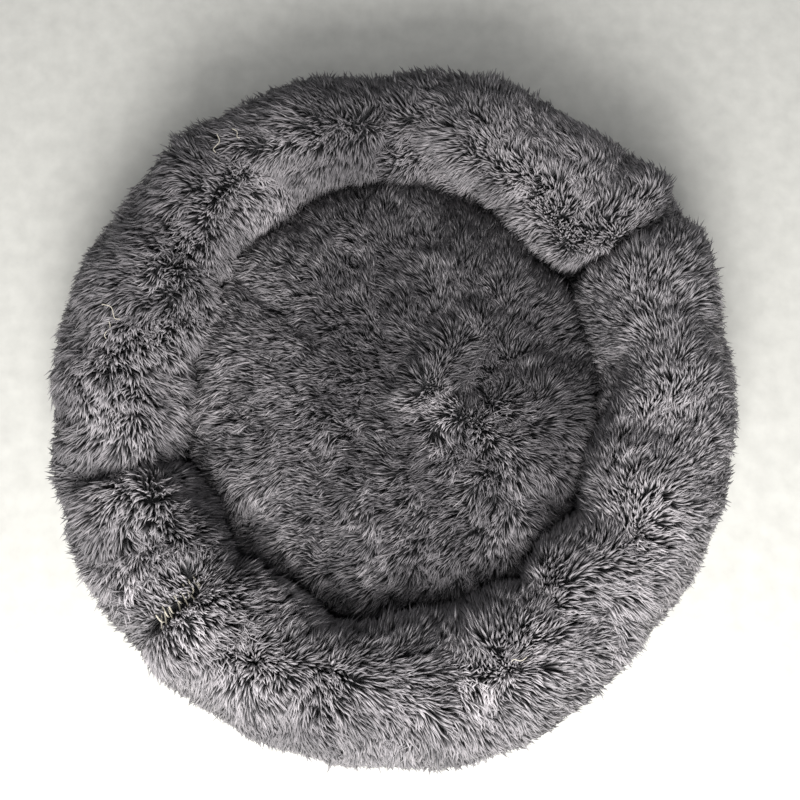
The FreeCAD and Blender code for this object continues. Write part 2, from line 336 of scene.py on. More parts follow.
def oval(points):
    """Plan a little out of round: y stretched, most at the nest, which sits to the rear.

    The rim also bulges or flattens by a bell of the angle round the bed at each place in BULGES.
    """
    radius = np.hypot(points[..., 0], points[..., 1])
    inner = smooth(RING_OUTER, RING_INNER, radius)
    phi = np.arctan2(points[..., 1], points[..., 0])
    swell_out = sum(amount * np.exp(-(wrap(phi - math.radians(place)) / math.radians(spread)) ** 2)
                    for place, spread, amount in BULGES)
    grown = 1 + swell_out * (1 - inner) / np.maximum(radius, 0.1)
    out = points.copy()
    out[..., 0] *= (RIM_STRETCH[0] + NEST_STRETCH[0] * inner) * grown
    out[..., 1] = points[..., 1] * (RIM_STRETCH[1] + NEST_STRETCH[1] * inner) * grown + NEST_SHIFT * inner
    return out


def fold_window(theta, start, end):
    """1 between the two tube angles, fading over 25 degrees beyond each."""
    theta = tube_degrees(theta)
    return smooth(start - 25, start, theta) * (1 - smooth(end, end + 25, theta))


def ring_dent(phi, theta):
    """How far the folds and dimples draw the ring's cover in: bells exp(-|d/w|^1.6) of the distance d."""
    dent = np.zeros_like(phi)
    for angle, depth, width, start, end in FOLDS:
        sway = 0.02 * np.sin(2 * theta + math.radians(angle))
        d = RING_RADIUS * wrap(phi - math.radians(angle) - sway)
        dent += depth * np.exp(-np.abs(d / width) ** 1.6) * fold_window(theta, start, end)
    for angle, tube, depth, radius in DIMPLES:
        d = np.hypot(RING_RADIUS * wrap(phi - math.radians(angle)),
                     RING_HALF_WIDTH * wrap(theta - math.radians(tube)))
        dent += depth * np.exp(-(d / radius) ** 1.6)
    return dent * bpy.context.scene.bed_ring.fold_scale


def ring_angles(around, across):
    """Grids of the angle round the bed and the angle round the tube."""
    phi = np.arange(around)[:, None] * TAU / around + np.zeros((1, across))
    theta = np.arange(across)[None, :] * TAU / across + np.zeros((around, 1))
    return phi, theta


def square(steps):
    """Two grids that each run from -1 to 1."""
    return np.meshgrid(np.linspace(-1, 1, steps), np.linspace(-1, 1, steps), indexing="ij")


def normals_of(grid, closed):
    """Unit normals of a grid of points, from central differences along both of its ways."""
    if closed:
        du = np.roll(grid, -1, 0) - np.roll(grid, 1, 0)
        dv = np.roll(grid, -1, 1) - np.roll(grid, 1, 1)
    else:
        du, dv = np.gradient(grid, axis=0), np.gradient(grid, axis=1)
    return unit(np.cross(du, dv))


def ring_grid(around, across, inset):
    """Ring's surface as a grid: the plain tube moved along its normal by lumps less the folds' dents."""
    settings = bpy.context.scene.bed_ring
    phi, theta = ring_angles(around, across)
    base = ring_section(phi, theta, inset)
    normal = normals_of(base, True)
    lumps = settings.lump * (0.7 * waves(base, 0.16, 3) + 0.5 * waves(base, 0.07, 4))
    free = smooth(-0.75, -0.35, np.sin(theta))
    lumps = lumps * (1 - 0.65 * smooth(0.35, 0.9, np.cos(theta)))
    return base + normal * ((lumps - ring_dent(phi, theta)) * free)[..., None]


WHORL = (0.084, 0.000)
# Paler and darker places on the cushion, mostly painted light and shade: the left painted paler where the
# key light falls, the hollows and the front painted darker where shade falls, with more darker patches on
# the right and small pale patches round the whorl: (x, y, spread, change of shade)
CUSHION_LIGHT_AND_SHADE = (
    (-0.120, 0.120, 0.055, 0.34), (-0.150, 0.020, 0.050, 0.34), (-0.110, -0.100, 0.055, 0.34),
    (0.024, 0.006, 0.013, 0.42), (0.038, 0.026, 0.012, 0.38), (0.060, 0.052, 0.014, 0.42),
    (0.052, -0.018, 0.016, 0.24), (0.082, -0.026, 0.017, 0.28), (0.100, -0.010, 0.010, 0.16),
    (-0.012, 0.040, 0.050, -0.32), (0.064, 0.016, 0.016, -0.22), (0.135, -0.010, 0.045, -0.20),
    (0.105, 0.070, 0.050, -0.14), (0.010, 0.140, 0.050, -0.06), (0.050, -0.130, 0.080, -0.24),
    (0.090, 0.000, 0.090, -0.08),
)


def cushion_profile(rho, inset):
    """Profile of the dome by its share rho of arc length.

    Its r and z run over a nearly flat crown, a round edge and an upright side.
    """
    radius = CUSHION_RADIUS - 0.55 * inset
    top = CUSHION_TOP - inset
    corner = CUSHION_CORNER
    crown = radius - corner
    bend = corner * math.pi / 2
    side = top - corner - CUSHION_SIDE_END - CUSHION_FALL
    s = rho * (crown + bend + side)
    turn = np.clip((s - crown) / corner, 0, math.pi / 2)
    r = np.minimum(s, crown) + corner * np.sin(turn)
    z = top - CUSHION_FALL * (np.minimum(s, crown) / crown) ** 2 - corner * (1 - np.cos(turn))
    return r, z - np.maximum(s - crown - bend, 0)


def cushion_dent(x, y):
    """Hollows in the cushion: a long hollow behind the middle, a ridge to its right and a small dimple."""
    valley = np.exp(-((x + 0.012) / 0.032) ** 2 - ((y - 0.036) / 0.060) ** 2)
    second = 0.55 * np.exp(-((x - 0.072) / 0.026) ** 2 - ((y - 0.010) / 0.026) ** 2)
    dimple = 0.70 * np.exp(-((x - 0.100) ** 2 + (y - 0.029) ** 2) / 0.012 ** 2)
    ridge = -0.90 * np.exp(-((x - 0.040 - 0.80 * (y - 0.028)) / 0.015) ** 2 - ((y - 0.028) / 0.040) ** 2)
    return bpy.context.scene.bed_cushion.valley * (valley + second + dimple + ridge)


def cushion_grid(steps, inset):
    """Cushion's top as a square grid drawn onto a disc by x = u sqrt(1 - v^2/2), y = v sqrt(1 - u^2/2)."""
    settings = bpy.context.scene.bed_cushion
    u, v = square(steps)
    x, y = u * np.sqrt(1 - v * v / 2), v * np.sqrt(1 - u * u / 2)
    rho = np.hypot(x, y)
    r, z = cushion_profile(rho, inset)
    scale = r / np.maximum(rho, 1e-9)
    base = np.stack([x * scale, y * scale, z], -1)
    base[..., 0] *= CUSHION_STRETCH[0]
    base[..., 1] = base[..., 1] * CUSHION_STRETCH[1] + NEST_SHIFT
    lumps = settings.lump * (0.8 * waves(base, 0.10, 11) + 0.5 * waves(base, 0.045, 12))
    inside = 1 - smooth(0.55, 0.85, rho)
    drop = cushion_dent(base[..., 0], base[..., 1]) * inside - lumps * (1 - smooth(0.8, 0.97, rho))
    base[..., 2] -= drop
    return base


def cushion_cap(grid):
    """Vertices and faces of the cushion: its top grid, closed underneath by a ring and a flat middle."""
    steps = len(grid)
    index = np.arange(steps * steps).reshape(steps, steps)
    rim = np.concatenate([index[0, :-1], index[:-1, -1], index[-1, :0:-1], index[:0:-1, 0]])
    flat = grid.reshape(-1, 3)
    inner = flat[rim] * np.array([0.93, 0.93, 0]) + np.array([0, 0.07 * NEST_SHIFT, CUSHION_UNDERSIDE])
    centre = np.array([[0, NEST_SHIFT, CUSHION_UNDERSIDE]])
    verts = np.concatenate([flat, inner, centre])
    first, count = len(flat), len(rim)
    ring = first + np.arange(count)
    after = np.roll(np.arange(count), -1)
    walls = np.stack([rim, rim[after], ring[after], ring], -1)
    middle = np.stack([ring, ring[after], np.full(count, first + count)], -1)
    return verts, [sheet_faces(steps, steps), walls, middle]


# ---------------------------------------------------------------- cloth simulation

def swell(obj, pinned, pressure, frames, extra, cap):
    """Cloth simulation under inner pressure, applied to the mesh, with no point moving more than cap.

    pinned is one weight a vertex, 1 where a seam or the base holds the cloth, and extra is the share by
    which the cloth is larger than the space it starts in. The new points are also returned.
    """
    count = len(obj.data.vertices)
    start = np.empty(count * 3, dtype=np.float32)
    obj.data.vertices.foreach_get("co", start)
    group = obj.vertex_groups.new(name="held")
    levels = np.round(np.clip(pinned, 0, 1) * 20).astype(int)
    for level in range(1, 21):
        chosen = np.flatnonzero(levels == level)
        if len(chosen):
            group.add(chosen.tolist(), level / 20, "REPLACE")
    cloth = obj.modifiers.new("swell", "CLOTH")
    s = cloth.settings
    s.quality = 5
    s.mass = 0.25
    s.use_pressure = True
    s.uniform_pressure_force = pressure
    s.tension_stiffness = 18
    s.compression_stiffness = 12
    s.shear_stiffness = 6
    s.bending_stiffness = 0.35
    s.air_damping = 4
    s.shrink_min = -extra
    s.vertex_group_mass = "held"
    s.pin_stiffness = 1.0
    s.effector_weights.gravity = 0
    cloth.collision_settings.use_collision = False
    cloth.collision_settings.use_self_collision = False
    cloth.point_cache.frame_start, cloth.point_cache.frame_end = 1, frames
    scene = bpy.context.scene
    for step in range(1, frames + 1):
        scene.frame_set(step)
    graph = bpy.context.evaluated_depsgraph_get()
    moved = np.empty(count * 3, dtype=np.float32)
    obj.evaluated_get(graph).data.vertices.foreach_get("co", moved)
    obj.modifiers.remove(cloth)
    obj.vertex_groups.remove(group)
    scene.frame_set(1)
    start, moved = start.reshape(-1, 3), moved.reshape(-1, 3)
    shift = moved - start
    size = np.linalg.norm(shift, axis=1, keepdims=True)
    shift *= np.minimum(1, cap / np.maximum(size, 1e-9))
    points = (start + shift).astype(np.float64)
    obj.data.vertices.foreach_set("co", points.astype(np.float32).ravel())
    obj.data.update()
    return points


# ---------------------------------------------------------------- pile

def nearest_clumps(s, t, pitch, around, seed):
    """Vector in (s, t) from each root to its nearest clump centre, and that clump's number from -1 to 1.

    The centres are one random point in each cell of a square lattice of side pitch, which repeats after
    around cells along s; the nearest is found among the nine cells round the root.
    """
    rng = np.random.default_rng(seed)
    table = rng.uniform(0.08, 0.92, (around, 257, 2))
    numbers = rng.uniform(-1, 1, (around, 257))
    own = np.zeros(s.shape)
    ci, cj = np.floor(s / pitch).astype(int), np.floor(t / pitch).astype(int)
    best = np.full(s.shape, np.inf)
    away = np.zeros(s.shape + (2,))
    for di in (-1, 0, 1):
        for dj in (-1, 0, 1):
            jitter = table[(ci + di) % around, (cj + dj) % 257]
            d = (np.stack([ci + di, cj + dj], -1) + jitter) * pitch - np.stack([s, t], -1)
            size = np.hypot(d[..., 0], d[..., 1])
            closer = size < best
            best = np.where(closer, size, best)
            away = np.where(closer[..., None], d, away)
            own = np.where(closer, numbers[(ci + di) % around, (cj + dj) % 257], own)
    return away, own


class Pile:
    """A surface that pile grows from: its grid of points, with normals, comb and flat coordinates."""

    def __init__(self, grid, closed, flat, comb, weight, lean, size, tone, gather):
        self.closed = closed
        self.weight = weight
        normal = normals_of(grid, closed)
        self.fields = {"point": grid, "normal": normal, "comb": comb, "flat": flat, "lean": lean,
                       "size": size[..., None], "tone": tone[..., None], "gather": gather[..., None],
                       "along_s": self.tangent(grid, 0), "along_t": self.tangent(grid, 1)}

    def tangent(self, grid, axis):
        """Unit direction in which the grid's index grows along axis."""
        if self.closed:
            return unit(np.roll(grid, -1, axis) - np.roll(grid, 1, axis))
        return unit(np.gradient(grid, axis=axis))

    def roots(self, count, rng):
        """Values of every field at count roots spread evenly by area times weight.

        Cells are drawn in step along the running total of their areas, and a root's place in its cell
        follows the additive recurrence of the plastic number, which fills a square evenly.
        """
        grid = self.fields["point"]
        if self.closed:
            corners = lambda f: (f, np.roll(f, -1, 0), np.roll(np.roll(f, -1, 0), -1, 1), np.roll(f, -1, 1))
        else:
            corners = lambda f: (f[:-1, :-1], f[1:, :-1], f[1:, 1:], f[:-1, 1:])
        a, b, c, d = corners(grid)
        area = np.linalg.norm(np.cross(c - a, d - b), axis=-1) / 2 * corners(self.weight)[0]
        total = np.cumsum(area.ravel())
        steps = (np.arange(count) + rng.random(count)) / count * total[-1]
        cell = np.minimum(np.searchsorted(total, steps), area.size - 1)
        k = np.arange(count)
        u = np.mod(k * PLASTIC[0] + 0.5, 1)[:, None]
        v = np.mod(k * PLASTIC[1] + 0.5, 1)[:, None]
        out = {}
        for name, field in self.fields.items():
            q = [corner.reshape(-1, field.shape[-1])[cell] for corner in corners(field)]
            if name == "flat":
                q[1:] = [q[0] + np.where(np.abs(x - q[0]) > 0.3, 0, x - q[0]) for x in q[1:]]
            out[name] = (q[0] * (1 - u) + q[1] * u) * (1 - v) + (q[3] * (1 - u) + q[2] * u) * v
        return out


def tuft_mesh(root, middle, tip, side, depth, shade):
    """Closed three-sided tufts: a triangle at the root, a wider one at the middle, and a point.

    side and depth are half-width vectors across each tuft. The map's u is the tuft's shade and its v
    runs from root to tip, so that tufts of one shade share one place on it.
    """
    count = len(root)
    turn = TAU * np.arange(3) / 3 + 0.5
    ring = side[:, None] * np.cos(turn)[:, None] + depth[:, None] * np.sin(turn)[:, None]
    verts = np.concatenate([root[:, None] + 0.45 * ring, middle[:, None] + ring, tip[:, None]], 1)
    base = 7 * np.arange(count)[:, None]
    walls = np.concatenate([base + [k, (k + 1) % 3, 3 + (k + 1) % 3, 3 + k] for k in range(3)], 1)
    ends = np.concatenate([base + [3 + k, 3 + (k + 1) % 3, 6] for k in range(3)], 1)
    caps = base + [2, 1, 0]
    wide = 0.018
    wall_uv = np.array([[[k / 3, 0.03], [(k + 1) / 3, 0.03], [(k + 1) / 3, 0.5], [k / 3, 0.5]]
                        for k in range(3)]).reshape(1, 12, 2)
    end_uv = np.array([[[k / 3, 0.5], [(k + 1) / 3, 0.5], [(k + 0.5) / 3, 0.97]]
                       for k in range(3)]).reshape(1, 9, 2)
    cap_uv = np.array([[1.0, 0.012], [0.5, 0.03], [0.0, 0.012]]).reshape(1, 3, 2)
    start = np.stack([shade, np.zeros(count)], -1)[:, None]
    uv = [(start + block * [wide, 1]).reshape(-1, 2) for block in (wall_uv, end_uv, cap_uv)]
    faces = [walls.reshape(-1, 4), ends.reshape(-1, 3), caps]
    return verts.reshape(-1, 3), faces, np.concatenate(uv)


def grow(pile, count, length, width, seed, clump, around, draw, spread):
    """Tufts of the pile as arrays: root, middle, tip, side, depth and shade.

    A tuft leaves its root leaning from the normal towards the comb by the pile's first lean and ends
    leaning by its second; its tip is drawn by draw to its clump's and lock's centres, and outside the
    ring it droops. spread multiplies how far the tufts' shades differ from their neighbours'.
    """
    rng = np.random.default_rng(seed)
    f = pile.roots(count, rng)
    root, normal = f["point"], unit(f["normal"])
    strength = np.minimum(np.linalg.norm(f["comb"], axis=1, keepdims=True), 1)
    stray = rng.normal(0, 1, (count, 3))
    swirl = waves(root, 0.013, seed + 7)[:, None] * np.cross(normal, f["comb"])
    comb = f["comb"] + 0.17 * stray + 0.34 * swirl
    comb = unit(comb - normal * (comb * normal).sum(1, keepdims=True))
    comb = comb * (0.30 + 0.70 * strength)
    patches = waves(root, 0.016, seed + 3)
    size = f["size"] * length * (1 + 0.13 * rng.normal(0, 1, (count, 1)) + 0.13 * patches[:, None])
    jitter = rng.normal(0, 1, (count, 1))
    start = np.radians(f["lean"][:, :1] + 8 * jitter + 7 * patches[:, None])
    end = np.radians(f["lean"][:, 1:] + 8 * jitter)
    first = unit(np.cos(start) * normal + np.sin(start) * comb)
    second = unit(np.cos(end) * normal + np.sin(end) * comb)
    droop = np.array([0, 0, -0.30]) * (1 - smooth(0.0, 0.9, normal[:, 2:3]))
    second = unit(second + droop)
    pull, own = nearest_clumps(f["flat"][:, 0], f["flat"][:, 1], clump, around, seed + 1)
    lock, lock_own = nearest_clumps(f["flat"][:, 0], f["flat"][:, 1], 3 * clump, around // 3, seed + 5)
    pulled = (draw[0] * pull + draw[1] * lock) * f["gather"]
    centre = pulled[:, :1] * f["along_s"] + pulled[:, 1:] * f["along_t"]
    middle = root + 0.62 * size * first + 0.50 * centre
    tip = middle + 0.40 * size * second + 0.55 * centre
    middle[:, 2] = np.maximum(middle[:, 2], 0.0028)
    tip[:, 2] = np.maximum(tip[:, 2], 0.0015)
    over = np.maximum(tip[:, 2] - CEILING + SOFTEN, 0)
    tip[:, 2] += SOFTEN * (1 - np.exp(-over / SOFTEN)) - over
    along = unit(tip - root)
    twist = unit(rng.normal(0, 1, (count, 3)) * 0.45 + np.cross(along, normal))
    side = unit(twist - along * (twist * along).sum(1, keepdims=True))
    depth = np.cross(along, side)
    half = 0.5 * width * (1 + 0.25 * rng.normal(0, 1, (count, 1))).clip(0.45, 1.7)
    near = np.clip(1 - np.hypot(pull[:, 0], pull[:, 1]) / (0.6 * clump), -1, 1)
    # Painted light and shade: tufts near their clump's centre are paler, those in the gaps between clumps
    # darker.
    own_and_painted_shade = 0.12 * rng.normal(0, 1, count) + 0.08 * near + 0.09 * patches + 0.11 * own + 0.05 * lock_own
    shade = 0.42 + 0.08 * waves(root, 0.05, seed + 2) + f["tone"][:, 0] + spread * own_and_painted_shade
    root = root - 0.0012 * normal
    return root, middle, tip, side * half, depth * half * 0.62, shade.clip(0.02, 0.96)


# ---------------------------------------------------------------- materials

def group(name, inputs, outputs):
    """Empty shader node group with its sockets: (name, type, default)."""
    tree = bpy.data.node_groups.new(name, "ShaderNodeTree")
    for label, kind, default in inputs:
        socket = tree.interface.new_socket(label, in_out="INPUT", socket_type="NodeSocket" + kind)
        if default is not None:
            socket.default_value = default
    for label, kind in outputs:
        tree.interface.new_socket(label, in_out="OUTPUT", socket_type="NodeSocket" + kind)
    return tree, tree.nodes.new("NodeGroupInput"), tree.nodes.new("NodeGroupOutput")


def node(tree, kind, inputs=None, **settings):
    """New node with its settings, and inputs that are values or other nodes' sockets."""
    made = tree.nodes.new("ShaderNode" + kind)
    for key, value in settings.items():
        setattr(made, key, value)
    for key, value in (inputs or {}).items():
        if isinstance(value, bpy.types.NodeSocket):
            tree.links.new(value, made.inputs[key])
        else:
            made.inputs[key].default_value = value
    return made


def maths(tree, operation, a, b=0.0):
    """Output of a Math node."""
    return node(tree, "Math", {0: a, 1: b}, operation=operation).outputs[0]


def mix_colour(tree, factor, a, b, blend="MIX"):
    """Output of a Mix node for colours."""
    made = node(tree, "Mix", {0: factor, 6: a, 7: b}, data_type="RGBA", blend_type=blend)
    return made.outputs[2]


def ramp(tree, factor, stops):
    """Output of a Color Ramp node with stops of (place, grey or colour)."""
    made = node(tree, "ValToRGB", {0: factor})
    band = made.color_ramp
    while len(band.elements) < len(stops):
        band.elements.new(0.5)
    for element, (place, value) in zip(band.elements, stops):
        element.position = place
        element.color = (value, value, value, 1) if np.isscalar(value) else (*value, 1)
    return made.outputs[0]


def pile_group():
    """Pile: dark at the root, lighter and streaked towards the tip, each tuft of its own shade."""
    tree, given, result = group(
        "pile_shade",
        [("Root", "Color", (0.02, 0.02, 0.02, 1)), ("Dark", "Color", (0.1, 0.1, 0.1, 1)),
         ("Light", "Color", (0.4, 0.4, 0.4, 1)), ("Streak", "Float", 0.35)],
        [("Color", "Color"), ("Roughness", "Float")])
    place = node(tree, "UVMap", uv_map=PILE_MAP)
    parts = node(tree, "SeparateXYZ", {0: place.outputs[0]})
    shade, height = parts.outputs[0], parts.outputs[1]
    tone = ramp(tree, shade, [(0.05, 0.0), (0.45, 0.38), (0.75, 0.72), (0.97, 1.0)])
    colour = mix_colour(tree, tone, given.outputs["Dark"], given.outputs["Light"])
    warmth = node(tree, "TexNoise", {"Vector": place.outputs[0], "Scale": 23.0, "Detail": 2.0})
    tint = mix_colour(tree, warmth.outputs[0], (0.94, 0.97, 1.05, 1), (1.07, 1.0, 0.98, 1))
    colour = mix_colour(tree, 1.0, colour, tint, "MULTIPLY")
    # Dark roots: partly the fur's own darker base, partly painted shade between the tufts.
    rise = ramp(tree, height, [(0.03, 0.0), (0.40, 0.14), (0.74, 0.76), (0.97, 1.0)])
    colour = mix_colour(tree, rise, given.outputs["Root"], colour)
    stretched = node(tree, "Mapping", {"Vector": place.outputs[0], "Scale": (420.0, 3.0, 1.0)})
    streak = node(tree, "TexNoise", {"Vector": stretched.outputs[0], "Scale": 1.0, "Detail": 3.0})
    centred = maths(tree, "SUBTRACT", streak.outputs[0], 0.5)
    depth = maths(tree, "MULTIPLY", centred, given.outputs["Streak"])
    gain = maths(tree, "ADD", 1.0, maths(tree, "MULTIPLY", depth, 2.0))
    bright = node(tree, "VectorMath", {0: colour, 3: gain}, operation="SCALE")
    tree.links.new(bright.outputs[0], result.inputs["Color"])
    gloss = maths(tree, "ADD", 0.44, maths(tree, "MULTIPLY", streak.outputs[0], 0.22))
    tree.links.new(gloss, result.inputs["Roughness"])
    return tree


def weave_group():
    """Plain weave: two crossed rows of threads, |sin| of the place, with worn patches, specks and painted
    shade between the threads.
    """
    tree, given, result = group(
        "woven_cloth",
        [("Warp", "Color", (0.1, 0.1, 0.1, 1)), ("Weft", "Color", (0.05, 0.05, 0.05, 1)),
         ("Threads", "Float", 900.0), ("Wear", "Float", 0.3)],
        [("Color", "Color"), ("Height", "Float"), ("Roughness", "Float")])
    place = node(tree, "TexCoord").outputs["Object"]
    parts = node(tree, "SeparateXYZ", {0: place})
    across = maths(tree, "MULTIPLY", maths(tree, "ADD", parts.outputs[0], parts.outputs[2]),
                   given.outputs["Threads"])
    along = maths(tree, "MULTIPLY", maths(tree, "ADD", parts.outputs[1], parts.outputs[2]),
                  given.outputs["Threads"])
    warp = maths(tree, "ABSOLUTE", maths(tree, "SINE", across))
    weft = maths(tree, "ABSOLUTE", maths(tree, "SINE", along))
    over = maths(tree, "MULTIPLY", maths(tree, "SINE", across), maths(tree, "SINE", along))
    mask = maths(tree, "GREATER_THAN", over, 0.0)
    height = node(tree, "Mix", {0: mask, 2: warp, 3: weft}, data_type="FLOAT").outputs[0]
    colour = mix_colour(tree, mask, given.outputs["Warp"], given.outputs["Weft"])
    patches = node(tree, "TexNoise", {"Vector": place, "Scale": 9.0, "Detail": 6.0, "Roughness": 0.6})
    worn = maths(tree, "MULTIPLY", ramp(tree, patches.outputs[0], [(0.45, 0.0), (0.75, 1.0)]),
                 given.outputs["Wear"])
    specks = node(tree, "TexNoise", {"Vector": place, "Scale": 700.0, "Detail": 2.0})
    gain = maths(tree, "ADD", 0.62, maths(tree, "MULTIPLY", specks.outputs[0], 0.76))
    gain = maths(tree, "ADD", gain, maths(tree, "MULTIPLY", worn, 1.2))
    # Painted shade: each thread is darker where it lies low, under the threads crossing it.
    gain = maths(tree, "MULTIPLY", gain, maths(tree, "ADD", 0.55, maths(tree, "MULTIPLY", height, 0.45)))
    bright = node(tree, "VectorMath", {0: colour, 3: gain}, operation="SCALE")
    tree.links.new(bright.outputs[0], result.inputs["Color"])
    tree.links.new(height, result.inputs["Height"])
    tree.links.new(maths(tree, "ADD", 0.72, maths(tree, "MULTIPLY", specks.outputs[0], 0.25)),
                   result.inputs["Roughness"])
    return tree


def wear_group():
    """Moulded or cast surface: fine grain, scuffs and a colour that shifts a little."""
    tree, given, result = group(
        "scuffed_surface",
        [("Colour", "Color", (0.1, 0.1, 0.1, 1)), ("Scuff", "Color", (0.3, 0.3, 0.3, 1)),
         ("Grain", "Float", 1500.0), ("Amount", "Float", 0.3)],
        [("Color", "Color"), ("Height", "Float"), ("Roughness", "Float")])
    place = node(tree, "TexCoord").outputs["Object"]
    grain = node(tree, "TexNoise", {"Vector": place, "Scale": given.outputs["Grain"], "Detail": 3.0})
    scuffs = node(tree, "TexNoise", {"Vector": place, "Scale": 160.0, "Detail": 8.0, "Roughness": 0.7})
    mask = maths(tree, "MULTIPLY", ramp(tree, scuffs.outputs[0], [(0.5, 0.0), (0.68, 1.0)]),
                 given.outputs["Amount"])
    colour = mix_colour(tree, mask, given.outputs["Colour"], given.outputs["Scuff"])
    gain = maths(tree, "ADD", 0.85, maths(tree, "MULTIPLY", grain.outputs[0], 0.3))
    bright = node(tree, "VectorMath", {0: colour, 3: gain}, operation="SCALE")
    tree.links.new(bright.outputs[0], result.inputs["Color"])
    tree.links.new(grain.outputs[0], result.inputs["Height"])
    tree.links.new(maths(tree, "ADD", 0.38, maths(tree, "MULTIPLY", mask, 0.5)), result.inputs["Roughness"])
    return tree


GROUP_MAKERS = {"pile_shade": pile_group, "woven_cloth": weave_group, "scuffed_surface": wear_group}


def material(name, group_name, inputs, shader, bump=0.0, distance=0.0003):
    """Material whose colour, roughness and bump come from one of the groups, and the rest from shader."""
    if name in bpy.data.materials:
        return bpy.data.materials[name]
    made = bpy.data.materials.new(name)
    made.use_nodes = True
    tree = made.node_tree
    surface = tree.nodes["Principled BSDF"]
    tree_group = bpy.data.node_groups.get(group_name) or GROUP_MAKERS[group_name]()
    pattern = tree.nodes.new("ShaderNodeGroup")
    pattern.node_tree = tree_group
    for key, value in inputs.items():
        pattern.inputs[key].default_value = (*value, 1) if hasattr(value, "__len__") else value
    tree.links.new(pattern.outputs["Color"], surface.inputs["Base Color"])
    tree.links.new(pattern.outputs["Roughness"], surface.inputs["Roughness"])
    for key, value in shader.items():
        surface.inputs[key].default_value = value
    if bump:
        raised = node(tree, "Bump", {"Height": pattern.outputs["Height"], "Strength": bump,
                                     "Distance": distance})
        tree.links.new(raised.outputs[0], surface.inputs["Normal"])
    return made


def pile_material(name, root, streak):
    """Finish of a pile, by its colour at the root and how much its tufts are streaked."""
    s = bpy.context.scene.bed_pile
    return material(name, "pile_shade",
                    {"Root": root, "Dark": s.dark_colour, "Light": s.light_colour, "Streak": streak},
                    {"Specular IOR Level": 0.45, "Sheen Weight": 0.10, "Sheen Roughness": 0.4,
                     "Sheen Tint": (0.9, 0.88, 0.9, 1)})


def cloth(name, warp, weft, threads, wear=0.3, bump=0.5):
    """Finish of a woven cloth, by its two threads' colours and the threads' frequency."""
    return material(name, "woven_cloth", {"Warp": warp, "Weft": weft, "Threads": threads, "Wear": wear},
                    {"Specular IOR Level": 0.3, "Sheen Weight": 0.15, "Sheen Roughness": 0.5}, bump)


def moulded(name, colour, scuff, grain, amount, metallic=0.0, bump=0.15):
    """Finish of a moulded or cast piece, by its colour and that of its scuffs."""
    return material(name, "scuffed_surface",
                    {"Colour": colour, "Scuff": scuff, "Grain": grain, "Amount": amount},
                    {"Metallic": metallic, "Specular IOR Level": 0.5}, bump, 0.0002)


def backing_material():
    """Finish of the knitted cloth under the pile."""
    return cloth("pile_backing", (0.030, 0.029, 0.031), (0.020, 0.0195, 0.021), 2600.0, 0.2)


def paint(names, chosen):
    """Give CAD nodes a material."""
    for name in names:
        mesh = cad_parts[name].data
        mesh.materials.clear()
        mesh.materials.append(chosen)


# ---------------------------------------------------------------- operators

# Grids of the swollen cloths, which the pile grows from: "ring" and "cushion"
FORMS = {}


def finish_piece(obj):
    """The piece rides on the bed."""
    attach(obj, BODY)
    return obj


class BED_OT_ring(bpy.types.Operator):
    """Ring's backing cloth: swollen between its folds by cloth simulation."""
    bl_idname = "bed.ring"
    bl_label = "Ring backing"

    def execute(self, context):
        s = context.scene.bed_ring
        grid = ring_grid(s.around, s.across, s.inset)
        faces = torus_faces(s.around, s.across)
        obj = new_object("ring_backing", grid.reshape(-1, 3), faces, [backing_material()])
        phi, theta = ring_angles(s.around, s.across)
        held = smooth(0.003, 0.009, ring_dent(phi, theta))
        held = np.maximum(held, 1 - smooth(-0.80, -0.55, np.sin(theta)))
        moved = swell(obj, held.ravel(), 1.2, 16, 0.02, 0.007)
        grid = moved.reshape(grid.shape)
        FORMS["ring"] = grid
        finish_piece(obj)
        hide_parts(*RING_NODES)
        return {"FINISHED"}


class BED_OT_cushion(bpy.types.Operator):
    """Cushion's backing cloth: a puffy dome with a worn hollow, swollen by cloth simulation."""
    bl_idname = "bed.cushion"
    bl_label = "Cushion backing"

    def execute(self, context):
        s = context.scene.bed_cushion
        grid = cushion_grid(s.steps, s.inset)
        verts, faces = cushion_cap(grid)
        obj = new_object("cushion_backing", verts, faces, [backing_material()])
        x, y = grid[..., 0], grid[..., 1]
        held = smooth(0.008, 0.014, cushion_dent(x, y)) * 0.8
        held = np.maximum(held, 1 - smooth(0.030, 0.055, grid[..., 2]))
        pinned = np.concatenate([held.ravel(), np.ones(len(verts) - held.size)])
        moved = swell(obj, pinned, 1.0, 16, 0.05, 0.009)
        grid = moved[:held.size].reshape(grid.shape)
        FORMS["cushion"] = grid
        finish_piece(obj)
        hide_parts("cushion_cover", "well_seam")
        return {"FINISHED"}


